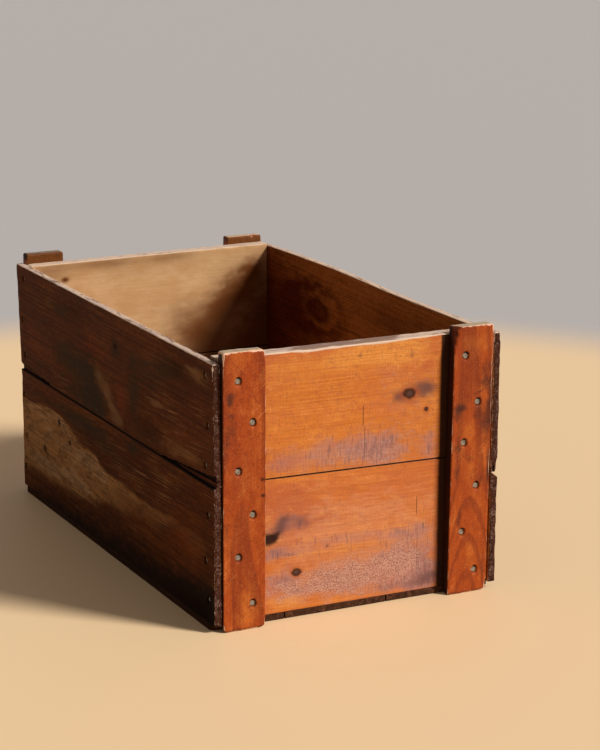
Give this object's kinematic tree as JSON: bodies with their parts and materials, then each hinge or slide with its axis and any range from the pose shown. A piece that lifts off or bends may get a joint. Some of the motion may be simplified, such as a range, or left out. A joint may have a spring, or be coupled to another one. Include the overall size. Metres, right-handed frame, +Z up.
{
  "type": "wooden apple crate",
  "caption": "Open-topped nailed wooden fruit crate with tongue-and-groove side and end boards and upright corner battens on the end walls.",
  "frame": {"origin": "on the floor, under the middle of the crate's outside box", "axes": "+Z up, +Y along the crate from the front end wall to the rear end wall, +X to the right seen from the front"},
  "size_m": [0.308, 0.534, 0.273],
  "materials": {
    "end_board_wood": "old varnished orange-brown pine, worn and stained",
    "batten_wood": "red-brown varnished softwood with worn edges",
    "side_board_wood": "dark brown weathered pine with tan patches",
    "bottom_board_wood": "dark grey-brown dirty sawn pine",
    "nail_steel": "dull grey oxidised steel"
  },
  "bodies": {
    "root": {"front_end_upper_board": "end_board_wood", "front_end_lower_board": "end_board_wood", "rear_end_upper_board": "end_board_wood", "rear_end_lower_board": "end_board_wood", "front_left_batten": "batten_wood", "front_right_batten": "batten_wood", "rear_left_batten": "batten_wood", "rear_right_batten": "batten_wood", "left_side_upper_board": "side_board_wood", "left_side_lower_board": "side_board_wood", "right_side_upper_board": "side_board_wood", "right_side_lower_board": "side_board_wood", "bottom_left_board": "bottom_board_wood", "bottom_middle_board": "bottom_board_wood", "bottom_right_board": "bottom_board_wood", "front_left_batten_nails": "nail_steel", "front_right_batten_nails": "nail_steel", "rear_left_batten_nails": "nail_steel", "rear_right_batten_nails": "nail_steel", "left_side_front_nails": "nail_steel", "left_side_rear_nails": "nail_steel", "right_side_front_nails": "nail_steel", "right_side_rear_nails": "nail_steel", "bottom_front_nails": "nail_steel", "bottom_rear_nails": "nail_steel"}
  },
  "joints": []
}
